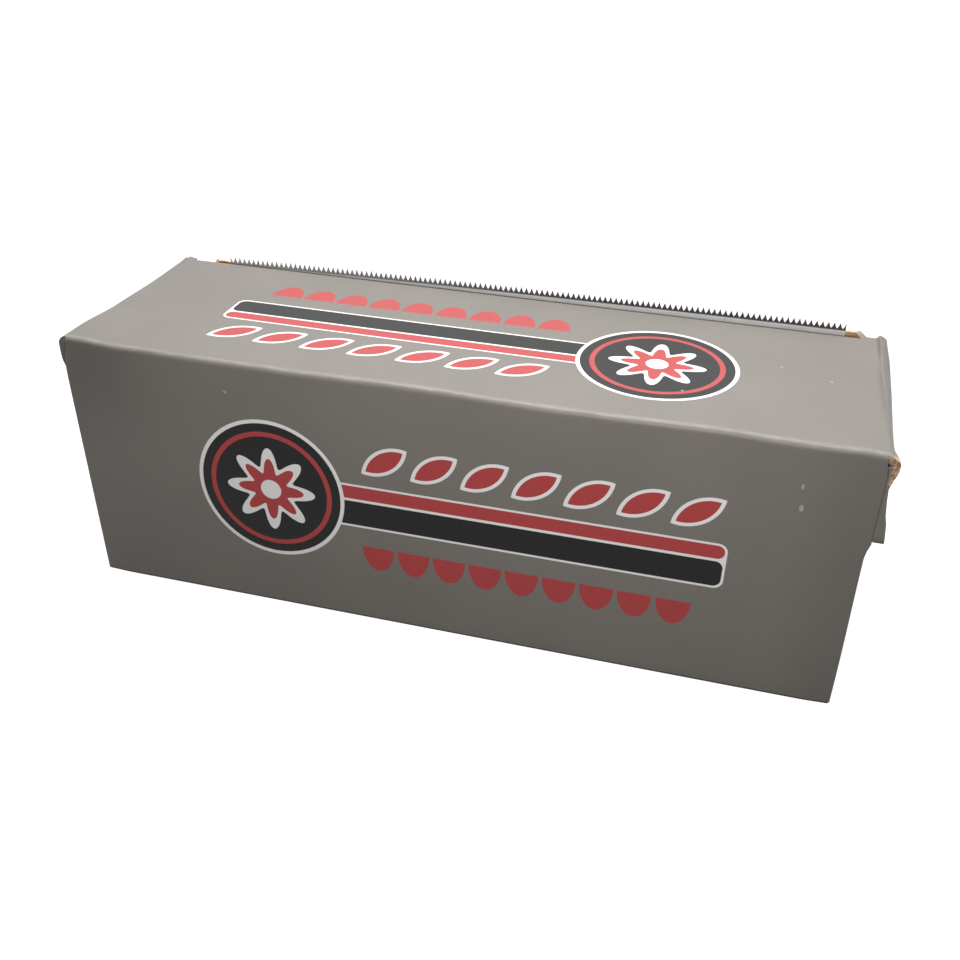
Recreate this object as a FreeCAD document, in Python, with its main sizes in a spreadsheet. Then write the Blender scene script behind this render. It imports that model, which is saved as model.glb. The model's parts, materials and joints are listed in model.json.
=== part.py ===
import FreeCAD, Part

import os
import re

import Sketcher

# A small dispenser carton of aluminium foil, lid closed: a folded tray with the
# roll of foil on its paper core inside, a saw-toothed steel strip on the inner
# face of the front wall, and a lid that turns on the crease along the top of
# the back wall.
#
# X runs along the roll, Y from the back wall to the front wall, Z up. The
# origin is the middle of the face that the carton stands on. Lengths are in
# millimetres and angles in degrees.

SIZES = {
    # the paper core and the foil wound on it
    "core_radius": 15.0,
    "core_wall": 1.5,
    "core_overhang": 0.75,
    "foil_width": 124.5,
    "foil_winding": 4.45,
    "foil_core_gap": 0.05,
    "foil_end_step": 0.3,
    "tail_length": 9.0,
    "tail_thickness": 0.3,
    "tail_inset": 0.5,
    # the room that the carton leaves round the roll
    "end_room": 1.6,
    "side_room": 2.0,
    "roll_lift": 0.1,
    "head_room": 6.0,
    # the tray
    "board": 1.2,
    "floor_round": 1.5,
    "end_round": 1.0,
    "dust_flap": 20.9,
    "end_drop": 0.6,
    "end_panel_drop": 2.5,
    "front_rise_left": 0.2,
    "front_rise_right": 0.65,
    "front_cut_left": 3.2,
    "front_cut_right": 1.6,
    # the lid
    "lid_seat": 0.06,
    "lid_set_in": 0.05,
    "ear_gap": 0.4,
    "ear_length": 15.0,
    "ear_setback": 0.6,
    "ear_taper": 8.5,
    "ear_flare": 0.9,
    "ear_corner": 1.5,
    "fold_round": 1.6,
    "fold_inner_round": 0.4,
    "lid_edge_round": 1.0,
    "tuck_length": 13.0,
    "tuck_lean": 16.0,
    "tuck_inset": 4.0,
    "tuck_corner": 6.0,
    "tuck_gap": 0.25,
    # the saw strip
    "strip_thickness": 0.25,
    "strip_height": 11.0,
    "strip_margin_left": 6.6,
    "strip_margin_right": 2.9,
    "strip_rise": 1.4,
    "strip_tilt": 0.52,
    "tooth_pitch": 1.005,
    "tooth_depth": 1.15,
    "tooth_tip": 0.08,
}

# Lengths worked out from the sizes above.
FORMULAS = {
    "core_length": "(foil_width + 2 * core_overhang)",
    "foil_bore": "(core_radius + foil_core_gap)",
    "foil_radius": "(foil_bore + foil_winding)",
    "inner_length": "(core_length + 2 * end_room)",
    "half_length": "(inner_length / 2 + 2 * board)",
    "half_depth": "(foil_radius + side_room + board)",
    "height": "(2 * foil_radius + roll_lift + head_room + 2 * board)",
    "roll_centre": "(board + roll_lift + foil_radius)",
    "wall_top": "(height - board - lid_seat)",
    "end_top": "(wall_top - end_drop)",
    "lid_back": "(lid_set_in - half_depth)",
    "lid_front": "(half_depth - board - strip_thickness - tuck_gap)",
    "lid_under": "(height - board)",
    "ear_out": "(half_length + ear_gap + board)",
    "ear_bottom": "(height - ear_length)",
    "ear_root": "(height - fold_round - fold_inner_round)",
    "ear_lean": "((ear_root - ear_bottom + board) * tan(ear_taper))",
    "tuck_half": "(half_length - tuck_inset)",
    "tuck_end_y": "(lid_front - tuck_length * sin(tuck_lean))",
    "tuck_end_z": "(lid_under - tuck_length * cos(tuck_lean))",
    "tooth_count": "floor((inner_length - strip_margin_left - strip_margin_right) / tooth_pitch)",
    "strip_length": "(tooth_count * tooth_pitch)",
    "strip_centre": "(strip_margin_left + strip_length / 2 - inner_length / 2)",
}

doc = FreeCAD.newDocument("foil_carton")
sheet = doc.addObject("Spreadsheet::Sheet", "Sizes")
for row, (size_name, size) in enumerate(SIZES.items(), start=1):
    sheet.set(f"A{row}", size_name)
    sheet.set(f"B{row}", str(size))
    sheet.setAlias(f"B{row}", size_name)
doc.recompute()


def on_sheet(text):
    """The formula with every name in it replaced by the cells that it stands for."""

    def reference(word):
        if word[0] in FORMULAS:
            return on_sheet(FORMULAS[word[0]])
        return f"Sizes.{word[0]}" if word[0] in SIZES else word[0]

    return re.sub(r"[a-z][a-z_]*", reference, text)


def value(text):
    return float(sheet.evalExpression(on_sheet(text)))


def bind(feature, path, text):
    """Ties one property of a feature to a formula of the sheet's cells."""
    feature.setExpression(path, on_sheet(text))


def new_body(label):
    body = doc.addObject("PartDesign::Body", label)
    body.Label = label
    return body


def origin_feature(body, role):
    return next(item for item in body.Origin.OriginFeatures if item.Role == role)


def new_sketch(body, name, plane, offset):
    """An empty sketch on one of the body's own planes, moved along its normal."""
    sketch = body.newObject("Sketcher::SketchObject", name)
    sketch.AttachmentSupport = [(origin_feature(body, plane), "")]
    sketch.MapMode = "FlatFace"
    bind(sketch, "AttachmentOffset.Base.z", offset)
    return sketch


def hold_point(sketch, line, axis_constraint, axis_line, text):
    """Fixes one coordinate of a line's start point to a formula."""
    if text == "0":
        sketch.addConstraint(Sketcher.Constraint("PointOnObject", line, 1, axis_line))
        return
    index = sketch.addConstraint(Sketcher.Constraint(axis_constraint, -1, 1, line, 1, value(text)))
    bind(sketch, f"Constraints[{index}]", text)


def outline(sketch, corners):
    """Adds a closed outline of straight lines through corners given as formulas."""
    places = [FreeCAD.Vector(value(x), value(y), 0) for x, y in corners]
    first = sketch.GeometryCount
    count = len(places)
    for index in range(count):
        sketch.addGeometry(Part.LineSegment(places[index], places[(index + 1) % count]), False)
    for index in range(count):
        following = first + (index + 1) % count
        sketch.addConstraint(Sketcher.Constraint("Coincident", first + index, 2, following, 1))
    for index, (x, y) in enumerate(corners):
        hold_point(sketch, first + index, "DistanceX", -2, x)
        hold_point(sketch, first + index, "DistanceY", -1, y)


def circle(sketch, radius):
    """Adds a circle about the sketch's origin."""
    index = sketch.addGeometry(Part.Circle(FreeCAD.Vector(), FreeCAD.Vector(0, 0, 1), value(radius)))
    sketch.addConstraint(Sketcher.Constraint("Coincident", index, 3, -1, 1))
    size = sketch.addConstraint(Sketcher.Constraint("Radius", index, value(radius)))
    bind(sketch, f"Constraints[{size}]", radius)


def pad(body, sketch, length, side="One side"):
    feature = body.newObject("PartDesign::Pad", f"{sketch.Name}_pad")
    feature.Profile = sketch
    feature.SideType = side
    bind(feature, "Length", length)
    doc.recompute()
    return feature


def pocket_through(body, sketch, length):
    """Cuts the sketch through the body both ways, and checks that it takes something away."""
    before = body.Shape.Volume
    feature = body.newObject("PartDesign::Pocket", f"{sketch.Name}_pocket")
    feature.Profile = sketch
    feature.SideType = "Symmetric"
    bind(feature, "Length", length)
    doc.recompute()
    if not body.Shape.Volume < before:
        raise RuntimeError(f"{feature.Name} cuts nothing")
    return feature


def mirror_ends(body, features):
    """Repeats the features of the right end at the left end."""
    feature = body.newObject("PartDesign::Mirrored", f"{features[0].Name}_mirror")
    feature.Originals = features
    feature.MirrorPlane = (origin_feature(body, "YZ_Plane"), [""])
    body.Tip = feature
    doc.recompute()
    return feature


def fillet(body, name, radius, wanted):
    """Rounds the edges of the body for which wanted says yes."""
    base = body.Tip
    edges = [f"Edge{number}" for number, edge in enumerate(base.Shape.Edges, start=1) if wanted(edge)]
    if not edges:
        raise RuntimeError(f"{name} finds no edge")
    feature = body.newObject("PartDesign::Fillet", name)
    feature.Base = (base, edges)
    bind(feature, "Radius", radius)
    doc.recompute()
    return feature


def is_at(number, target):
    return abs(number - target) < 1e-4


def lies_at(edge, **places):
    """Whether both ends of an edge have the given distances from the planes x, y and z."""
    return all(is_at(abs(getattr(vertex, axis.upper())), abs(place))
               for vertex in edge.Vertexes for axis, place in places.items())


def spans(edge, axis):
    """Whether a straight edge runs along one axis."""
    if len(edge.Vertexes) != 2 or not isinstance(edge.Curve, Part.Line):
        return False
    run = edge.Vertexes[1].Point - edge.Vertexes[0].Point
    return is_at(abs(getattr(run, axis)), run.Length)


def make_tray():
    """The folded board round the roll: floor, two long walls, dust flaps over end panels."""
    body = new_body("carton_tray")

    channel = new_sketch(body, "channel", "YZ_Plane", "0")
    outline(channel, [
        ("-half_depth", "0"),
        ("half_depth", "0"),
        ("half_depth", "end_top"),
        ("half_depth - board", "end_top"),
        ("half_depth - board", "board"),
        ("board - half_depth", "board"),
        ("board - half_depth", "wall_top"),
        ("-half_depth", "wall_top"),
    ])
    pad(body, channel, "2 * half_length", "Symmetric")

    # the front wall stands higher than the lid between its two cut corners
    front = new_sketch(body, "front_wall", "XZ_Plane", "-half_depth")
    outline(front, [
        ("-half_length", "end_top - board"),
        ("half_length", "end_top - board"),
        ("half_length", "end_top"),
        ("half_length - front_cut_right", "height + front_rise_right"),
        ("front_cut_left - half_length", "height + front_rise_left"),
        ("-half_length", "end_top"),
    ])
    pad(body, front, "board")

    # one dust flap from each long wall closes each end, with a gap in the middle
    flaps = new_sketch(body, "dust_flaps", "YZ_Plane", "half_length - board")
    for side in ("", "-"):
        outline(flaps, [
            (f"{side}half_depth", "0"),
            (f"{side}half_depth", "end_top"),
            (f"{side}(half_depth - dust_flap)", "end_top"),
            (f"{side}(half_depth - dust_flap)", "0"),
        ])
    flaps_pad = pad(body, flaps, "board")

    # the end panel that the flaps are glued to
    panel = new_sketch(body, "end_panel", "YZ_Plane", "half_length - 2 * board")
    outline(panel, [
        ("-half_depth", "0"),
        ("half_depth", "0"),
        ("half_depth", "end_top - end_panel_drop"),
        ("-half_depth", "end_top - end_panel_drop"),
    ])
    panel_pad = pad(body, panel, "board")
    mirror_ends(body, [flaps_pad, panel_pad])

    fillet(body, "floor_fold", "floor_round",
           lambda edge: spans(edge, "x") and lies_at(edge, y=value("half_depth"), z=0))
    fillet(body, "end_fold", "end_round",
           lambda edge: spans(edge, "z") and lies_at(edge, x=value("half_length"), y=value("half_depth")))
    return body


def make_lid():
    """The top panel with an ear over each end and a tuck flap inside the front wall."""
    body = new_body("carton_lid")

    profile = new_sketch(body, "lid_profile", "XZ_Plane", "-lid_front")
    outline(profile, [
        ("-ear_out", "ear_bottom"),
        ("-ear_out", "height"),
        ("ear_out", "height"),
        ("ear_out + ear_flare", "ear_bottom"),
        ("ear_out + ear_flare - board", "ear_bottom"),
        ("ear_out - board", "lid_under"),
        ("board - ear_out", "lid_under"),
        ("board - ear_out", "ear_bottom"),
    ])
    pad(body, profile, "lid_front - lid_back")
    fillet(body, "ear_fold_outside", "fold_round",
           lambda edge: spans(edge, "y") and lies_at(edge, x=value("ear_out"), z=value("height")))
    fillet(body, "ear_fold_inside", "fold_inner_round",
           lambda edge: spans(edge, "y") and lies_at(edge, x=value("ear_out - board"), z=value("lid_under")))
    for name, place in (("back_edge", "lid_back"), ("front_edge", "lid_front")):
        fillet(body, name, "lid_edge_round",
               lambda edge: spans(edge, "x") and lies_at(edge, y=value(place), z=value("height")))

    # the ears narrow towards their free edges
    taper = new_sketch(body, "ear_taper_cut", "YZ_Plane", "0")
    for start, sign in (("lid_back", "+"), ("lid_front", "-")):
        away = "-" if sign == "+" else "+"
        outline(taper, [
            (f"{start} {away} board", "ear_root"),
            (f"{start} {sign} ear_setback", "ear_root"),
            (f"{start} {sign} ear_setback {sign} ear_lean", "ear_bottom - board"),
            (f"{start} {away} board", "ear_bottom - board"),
        ])
    pocket_through(body, taper, "2 * (ear_out + ear_flare + board)")
    fillet(body, "ear_corners", "ear_corner",
           lambda edge: spans(edge, "x") and lies_at(edge, z=value("ear_bottom")))

    tuck = new_sketch(body, "tuck_flap", "YZ_Plane", "0")
    outline(tuck, [
        ("lid_front", "lid_under + board / 4"),
        ("lid_front", "lid_under"),
        ("tuck_end_y", "tuck_end_z"),
        ("tuck_end_y - board * cos(tuck_lean)", "tuck_end_z + board * sin(tuck_lean)"),
        ("lid_front - board / cos(tuck_lean)", "lid_under"),
        ("lid_front - board / cos(tuck_lean)", "lid_under + board / 4"),
    ])
    pad(body, tuck, "2 * tuck_half", "Symmetric")
    fillet(body, "tuck_corners", "tuck_corner",
           lambda edge: lies_at(edge, x=value("tuck_half")) and edge.BoundBox.ZMax < value("ear_root")
           and is_at(edge.Length, value("board")))
    return body


def make_strip():
    """The steel strip: a flat band with a row of V-shaped gullets cut into its upper edge."""
    body = new_body("cutter_strip")

    band = new_sketch(body, "band", "XZ_Plane", "0")
    outline(band, [
        ("-strip_length / 2", "-strip_height"),
        ("strip_length / 2", "-strip_height"),
        ("strip_length / 2", "0"),
        ("-strip_length / 2", "0"),
    ])
    pad(body, band, "strip_thickness")

    gullet = new_sketch(body, "gullet", "XZ_Plane", "0")
    outline(gullet, [
        ("(tooth_tip - strip_length) / 2", "tooth_tip"),
        ("(tooth_tip - strip_length) / 2", "0"),
        ("(tooth_pitch - strip_length) / 2", "-tooth_depth"),
        ("tooth_pitch - (strip_length + tooth_tip) / 2", "0"),
        ("tooth_pitch - (strip_length + tooth_tip) / 2", "tooth_tip"),
    ])
    first = pocket_through(body, gullet, "4 * strip_thickness")
    row_of_teeth = body.newObject("PartDesign::LinearPattern", "teeth")
    row_of_teeth.Originals = [first]
    row_of_teeth.Direction = (gullet, ["H_Axis"])
    row_of_teeth.Mode = "Spacing"
    bind(row_of_teeth, "Offset", "tooth_pitch")
    bind(row_of_teeth, "Occurrences", "tooth_count")
    body.Tip = row_of_teeth

    body.Placement.Rotation = FreeCAD.Rotation(FreeCAD.Vector(0, -1, 0), value("strip_tilt"))
    bind(body, "Placement.Rotation.Angle", "strip_tilt")
    bind(body, "Placement.Base.x", "strip_centre")
    bind(body, "Placement.Base.y", "half_depth - board")
    bind(body, "Placement.Base.z", "height + strip_rise")
    return body


def make_foil():
    """The wound foil, its turns stepped at the ends, with the loose tail on top."""
    body = new_body("foil_roll")

    winding = new_sketch(body, "winding", "XZ_Plane", "0")
    half = "foil_width / 2"
    inner_step = "foil_bore + foil_winding / 3"
    outer_step = "foil_radius - foil_winding / 3"
    outline(winding, [
        (f"-{half}", "foil_bore"),
        (half, "foil_bore"),
        (half, inner_step),
        (f"{half} - foil_end_step", inner_step),
        (f"{half} - foil_end_step", outer_step),
        (f"{half} - foil_end_step / 3", outer_step),
        (f"{half} - foil_end_step / 3", "foil_radius"),
        (f"foil_end_step / 3 - {half}", "foil_radius"),
        (f"foil_end_step / 3 - {half}", outer_step),
        (f"foil_end_step - {half}", outer_step),
        (f"foil_end_step - {half}", inner_step),
        (f"-{half}", inner_step),
    ])
    turns = body.newObject("PartDesign::Revolution", "turns")
    turns.Profile = winding
    turns.ReferenceAxis = (winding, ["H_Axis"])
    turns.Angle = 360
    doc.recompute()

    tail = new_sketch(body, "tail", "YZ_Plane", "0")
    outline(tail, [
        ("0", "foil_radius - tail_thickness"),
        ("tail_length", "foil_radius - tail_thickness"),
        ("tail_length", "foil_radius"),
        ("0", "foil_radius"),
    ])
    pad(body, tail, "foil_width - 2 * tail_inset", "Symmetric")
    bind(body, "Placement.Base.z", "roll_centre")
    return body


def make_core():
    """The wound paper tube that the foil is rolled on."""
    body = new_body("core_tube")
    ring = new_sketch(body, "ring", "YZ_Plane", "0")
    circle(ring, "core_radius")
    circle(ring, "core_radius - core_wall")
    pad(body, ring, "core_length", "Symmetric")
    bind(body, "Placement.Base.z", "roll_centre")
    return body


bodies = [make_tray(), make_lid(), make_strip(), make_foil(), make_core()]
doc.recompute()

for item in doc.Objects:
    if {"Invalid", "Error"} & set(item.State):
        raise RuntimeError(f"{item.Name} failed: {item.State}")
for body in bodies:
    shape = body.Shape
    if shape.isNull() or not shape.isValid() or len(shape.Solids) != 1:
        raise RuntimeError(f"{body.Label} is not one valid solid")

os.makedirs("parts", exist_ok=True)
for body in bodies:
    body.Shape.exportStep(f"parts/{body.Label}.step")
    box = body.Shape.BoundBox
    print(f"{body.Label}: {body.Shape.Volume:.1f} mm3, X {box.XMin:.2f} to {box.XMax:.2f},"
          f" Y {box.YMin:.2f} to {box.YMax:.2f}, Z {box.ZMin:.2f} to {box.ZMax:.2f}")
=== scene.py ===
"""A small dispenser carton of aluminium foil: printed board, saw strip, foil on its paper core.

Lengths are in metres, X along the roll, Y from the hinged back wall to the front wall, Z up.
"""

import json
import math
from functools import partial

import bpy
import numpy as np
from mathutils import Matrix, Vector

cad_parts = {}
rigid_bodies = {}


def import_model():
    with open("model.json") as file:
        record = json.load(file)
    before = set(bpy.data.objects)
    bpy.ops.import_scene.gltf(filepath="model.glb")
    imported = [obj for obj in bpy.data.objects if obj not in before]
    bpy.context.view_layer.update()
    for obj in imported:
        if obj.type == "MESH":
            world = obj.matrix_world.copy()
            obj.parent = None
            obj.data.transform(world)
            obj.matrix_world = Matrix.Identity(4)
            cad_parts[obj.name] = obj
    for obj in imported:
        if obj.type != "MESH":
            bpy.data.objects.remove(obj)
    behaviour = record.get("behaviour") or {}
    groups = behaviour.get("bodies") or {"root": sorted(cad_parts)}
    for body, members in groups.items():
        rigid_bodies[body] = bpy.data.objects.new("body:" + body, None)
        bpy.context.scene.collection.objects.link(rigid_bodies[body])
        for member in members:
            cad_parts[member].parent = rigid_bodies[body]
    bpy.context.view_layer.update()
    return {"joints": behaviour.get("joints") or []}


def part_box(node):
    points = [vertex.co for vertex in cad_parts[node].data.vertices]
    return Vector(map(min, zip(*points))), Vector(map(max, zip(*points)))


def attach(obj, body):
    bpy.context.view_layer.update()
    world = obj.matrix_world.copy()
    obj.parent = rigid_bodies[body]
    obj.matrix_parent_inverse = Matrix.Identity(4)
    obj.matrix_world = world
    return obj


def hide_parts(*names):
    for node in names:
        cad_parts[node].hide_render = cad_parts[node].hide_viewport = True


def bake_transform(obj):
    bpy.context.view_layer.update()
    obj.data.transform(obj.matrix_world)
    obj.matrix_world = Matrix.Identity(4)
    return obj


bl_info = {
    "name": "Foil Carton",
    "version": (1, 0, 0),
    "blender": (4, 5, 0),
    "location": "View3D > Sidebar > Foil Carton",
    "description": "Dresses a packed foil carton with board, print, steel and foil",
    "category": "Add Mesh",
}

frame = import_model()

MM = 0.001

# Cells of the grids. Board: along X, along Y, up the walls and along the dust flaps. Winding and
# core: along, round, and from bore to rim. Tail: across and along the foil.
ALONG = 100
ACROSS = 34
UPWARDS = 34
FLAP = 16
WINDING_CELLS = (78, 144, 37)
CORE_CELLS = (64, 96, 5)
TAIL_CELLS = (250, 34)

# The least radius of a fold in board, the room under the dust flaps, beside the end panels and
# inside the ears, and the step beside the tuck flap.
TIGHT_FOLD = 0.15 * MM
FLAP_LIFT = 0.3 * MM
PANEL_PLAY = 0.35 * MM
EAR_PLAY = 0.06 * MM
TAB = 0.12 * MM

# How far the corners of the front wall slope, the room round the core, the foil's length on the
# roll before its loose end, and a thickness at which a sheet of it can be seen.
SLANT_LEFT = 1.4 * MM
SLANT_RIGHT = 0.3 * MM
BORE_PLAY = 0.05 * MM
TAIL_WRAP = 14 * MM
TAIL_SHEET = 0.04 * MM

# In millimetres: the humps of the crease as height, place and width, and how far the near edge of
# the right ear stands out at each depth below the lid.
CREASE_HUMPS = ((0.1, -54, 12), (0.3, -5, 12), (0.34, 41, 11), (0.17, 65, 7))
EAR_DEPTHS = (0.0, 0.5, 1.1, 1.9, 3.6, 5.3, 7.1, 10.0, 11.4, 14.6)
EAR_EDGE = (-0.4, 0.1, 0.25, -0.1, -0.83, -1.25, -1.1, -0.72, -0.35, 0.02)

# In millimetres: the waves in the board, the turns of the core's seam, and chips in the print as
# place and half size.
FLUTE_PITCH = 2.3
SEAM_PITCH = 46.0
BACK_SCUFFS = ((-37.8, 42.2, 0.35, 0.25), (56.1, 40.5, 0.25, 0.5), (56.5, 36.8, 0.35, 0.6))
LID_SCUFFS = ((59.2, 0.3, 0.25, 0.25), (51.2, 3.7, 0.22, 0.25), (36.1, -10.0, 0.25, 0.25))

# The brown of painted shade on the inner side of the front wall, on the bare board and on its cut edge.
SHADE_BROWN = (0.26, 0.1, 0.035)

# The floor's half size, its grey and what it shows to the eye, and the world's light and look.
FLOOR_REACH = 6.0
FLOOR_GREY = 0.2
FLOOR_SEEN = 0.95
WORLD_LIGHT = 0.22
WORLD_SEEN = 1.0
# Lamps as name, place, target, size in metres and power in watts.
LAMPS = (
    ("top_box", (-0.04, 0.25, 0.50), (0, 0, 0.04), 0.45, 4.5),
    ("front_box", (0.03, -0.12, 0.14), (0.02, -0.02, 0.03), 0.08, 0.16),
)
# Lens and sensor in millimetres, place in metres, angles in degrees.
CAMERA_LENS = 40.01
CAMERA_SENSOR = 36.0
CAMERA_PLACE = (0.04370, -0.16583, 0.12310)
CAMERA_AZIMUTH = 14.575
CAMERA_ELEVATION = 31.387
CAMERA_ROLL = 1.241


def box_corners(node):
    """The lower and the upper corner of a CAD node's box."""
    return [np.array(corner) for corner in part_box(node)]


TRAY_HIGH = box_corners("carton_tray")[1]
LID_LOW, LID_HIGH = box_corners("carton_lid")
STRIP_LOW, STRIP_HIGH = box_corners("cutter_strip")
FOIL_LOW, FOIL_HIGH = box_corners("foil_roll")
CORE_LOW, CORE_HIGH = box_corners("core_tube")

HALF_LENGTH = TRAY_HIGH[0]
HALF_DEPTH = TRAY_HIGH[1]
LID_TOP = LID_HIGH[2]
MIDDLE = np.array([0.0, 0.0, LID_TOP / 2])
FOIL_MIDDLE = (FOIL_LOW + FOIL_HIGH) / 2
FOIL_RADIUS = (FOIL_HIGH[2] - FOIL_LOW[2]) / 2
CORE_MIDDLE = (CORE_LOW + CORE_HIGH) / 2
CORE_RADIUS = (CORE_HIGH[2] - CORE_LOW[2]) / 2
TRAY_BODY, LID_BODY = frame["joints"][0]["parent"], frame["joints"][0]["child"]

# Half the length, half the depth and the height of the carton in millimetres, for the bends of the
# board and for the patterns, which are written in them.
END, SIDE, TOP = HALF_LENGTH / MM, HALF_DEPTH / MM, LID_TOP / MM


def length_property(name, description, size, **limits):
    """A length. It and its limits are given in millimetres."""
    limits = {key: limit * MM for key, limit in limits.items()}
    return bpy.props.FloatProperty(
        name=name, description=description, default=size * MM, unit="LENGTH", **limits)


def angle_property(name, description, degrees):
    return bpy.props.FloatProperty(
        name=name, description=description, default=math.radians(degrees), unit="ROTATION")


def colour_property(name, description, *default):
    return bpy.props.FloatVectorProperty(
        name=name, description=description, default=default, subtype="COLOR")


class CartonSizes(bpy.types.PropertyGroup):
    """Sizes of the folded board."""

    board: length_property("Board", "Thickness of the board", 1.2, min=0.3)
    corner_fold: length_property("Corner fold", "Outer radius of the upright corner folds", 0.4, min=0.2)
    floor_fold: length_property(
        "Floor fold", "Outer radius of the long folds under the walls", 0.2, min=0.2)
    crease_fold: length_property(
        "Crease fold", "Outer radius of the crease that the lid turns on", 0.9, min=0.2)
    crease_flat: length_property(
        "Crease flat", "Flat board that belongs to the crease above and below its arc", 1.2, min=0.8)
    dust_flap: length_property("Dust flap", "Length of the flaps that close the ends", 20.9, min=5)
    end_drop: length_property("End drop", "How far the dust flaps stop below the lid", 0.65, min=0)
    panel_drop: length_property(
        "Panel drop", "How far the end panels stop below the dust flaps", 2.5, min=0)
    front_rise_left: length_property(
        "Front rise left", "Height of the front wall over the lid at its left end", -0.5)
    front_rise_right: length_property(
        "Front rise right", "Height of the front wall over the lid at its right end", 0.34)
    front_cut_left: length_property(
        "Left cut", "Length of the low corner at the left end of the front wall", 5.5, min=0)
    front_cut_right: length_property(
        "Right cut", "Length of the low corner at the right end of the front wall", 1.55, min=0)
    ear_fold: length_property(
        "Ear fold", "Outer radius of the folds between the lid and its ears", 1.65, min=1.3)
    ear_setback: length_property(
        "Ear setback", "How far the side edges of the ears stand back from the walls", 0.55, min=0)
    ear_flush: length_property("Ear flush", "The same for the near edge of the right ear", 0.05, min=0)
    ear_corner: length_property("Ear corner", "Rounding of the free corners of the ears", 1.4, min=0.2)
    taper_left: angle_property("Left taper", "Slope of the side edges of the left ear", 11)
    taper_right: angle_property("Right taper", "Slope of the side edges of the right ear", 3.5)
    tuck_fold: length_property("Tuck fold", "Outer radius of the fold above the tuck flap", 1.3, min=1.25)
    tuck_half: length_property("Tuck half width", "Half the width of the tuck flap", 65.2, min=20)
    tuck_taper: length_property(
        "Tuck taper", "How far the sides of the tuck flap draw in below its fold", 1.9, min=0)
    tuck_length: length_property("Tuck length", "Length of the tuck flap below its fold", 12.4, min=5)
    tuck_lean: angle_property("Tuck lean", "Angle between the tuck flap and the vertical", 16)
    tuck_corner: length_property(
        "Tuck corner", "Rounding of the free corners of the tuck flap", 6.0, min=0.5)


class RollSizes(bpy.types.PropertyGroup):
    """Sizes of the foil, its core and the saw strip."""

    turn_step: length_property(
        "Turn step", "How far single turns stand out at the ends of the winding", 0.12)
    tail_length: length_property("Tail length", "Length of the loose end of the foil", 10)
    core_wall: length_property("Core wall", "Thickness of the paper tube", 1.5)
    tooth_pitch: length_property("Tooth pitch", "Distance from tip to tip along the saw strip", 1.005)
    tooth_depth: length_property("Tooth depth", "Height of the teeth", 1.15)
    strip_height: length_property("Strip height", "Height of the steel strip", 11)


class CartonColours(bpy.types.PropertyGroup):
    """Colours of the print and the bare materials."""

    ground: colour_property("Ground", "Printed warm grey", 0.19, 0.173, 0.156)
    red: colour_property("Red", "Red ink", 0.42, 0.055, 0.056)
    black: colour_property("Black", "Black ink", 0.006, 0.006, 0.006)
    white: colour_property("White", "Unprinted white of the liner", 0.84, 0.83, 0.81)
    kraft: colour_property("Kraft", "Bare kraft board", 0.46, 0.31, 0.185)
    steel: colour_property("Steel", "Rolled steel", 0.74, 0.73, 0.72)
    foil: colour_property("Foil", "Bright aluminium", 0.7, 0.71, 0.73)


class FoilCarton(bpy.types.PropertyGroup):
    """Everything that the operators read."""

    board: bpy.props.PointerProperty(type=CartonSizes)
    roll: bpy.props.PointerProperty(type=RollSizes)
    colours: bpy.props.PointerProperty(type=CartonColours)


def smooth_step(low, high, values):
    """0 at low, 1 at high and 3t^2 - 2t^3 between them. low may be the larger."""
    share = np.clip((values - low) / (high - low), 0, 1)
    return share * share * (3 - 2 * share)


def bump(values, middle, width):
    """A bell curve, exp(-((v - middle) / width)^2)."""
    return np.exp(-((values - middle) / width) ** 2)


def stretch(start, end, cells):
    """Evenly spaced numbers from start to end."""
    return np.linspace(start, end, cells + 1)


def chain(*stretches):
    """Joins stretches that share their end points into one row of numbers or points."""
    return np.concatenate([stretches[0]] + [part[1:] for part in stretches[1:]])


def arc(middle, radius, start, end, cells=8):
    """Points of a circle's arc, middle + radius * (cos a, sin a), for a from start to end degrees."""
    angle = np.radians(stretch(start, end, cells))
    return np.stack([middle[0] + radius * np.cos(angle), middle[1] + radius * np.sin(angle)], 1)


def line(start, end, cells):
    """Evenly spaced points of a straight line."""
    share = stretch(0, 1, cells)[:, None]
    return np.asarray(start) * (1 - share) + np.asarray(end) * share


def patch(first, second, third):
    """A grid of points from three arrays that broadcast to the same rows and columns."""
    return np.stack(np.broadcast_arrays(first, second, third), -1).astype(float)


def fold_radius(outer, inset):
    """The radius of a fold at a depth below the printed face. A tight fold keeps a small one."""
    return max(outer - inset, TIGHT_FOLD)


def crease_wave(x):
    """How far the long crease stands above or below its straight line: slow humps and ripples.
    Here and in the bends below, places and results are in millimetres."""
    humps = sum(height * bump(x, middle, width) for height, middle, width in CREASE_HUMPS)
    return humps + 0.03 * np.sin(x / 3.1) + 0.02 * np.sin(x / 1.7 + 1.0)


def corner_pull(x, y, z):
    """How far the two back corners stand out sideways. The left one leans out towards its top,
    and the right one steps out where the ear covers it. It fades along the walls on both sides."""
    lean = 0.18 + 0.82 * np.clip(z / 40, 0, 1)
    lean = lean * (1 - 0.95 * smooth_step(42.5, 46.5, z))
    step = 0.55 * smooth_step(30.1, 31.9, z) * smooth_step(46.5, 44.5, z) + 0.26 * smooth_step(31, 5, z)
    local = smooth_step(58, 66.6, np.abs(x)) * smooth_step(-8, -21, y)
    return np.where(x > 0, step, -lean) * local


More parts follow.
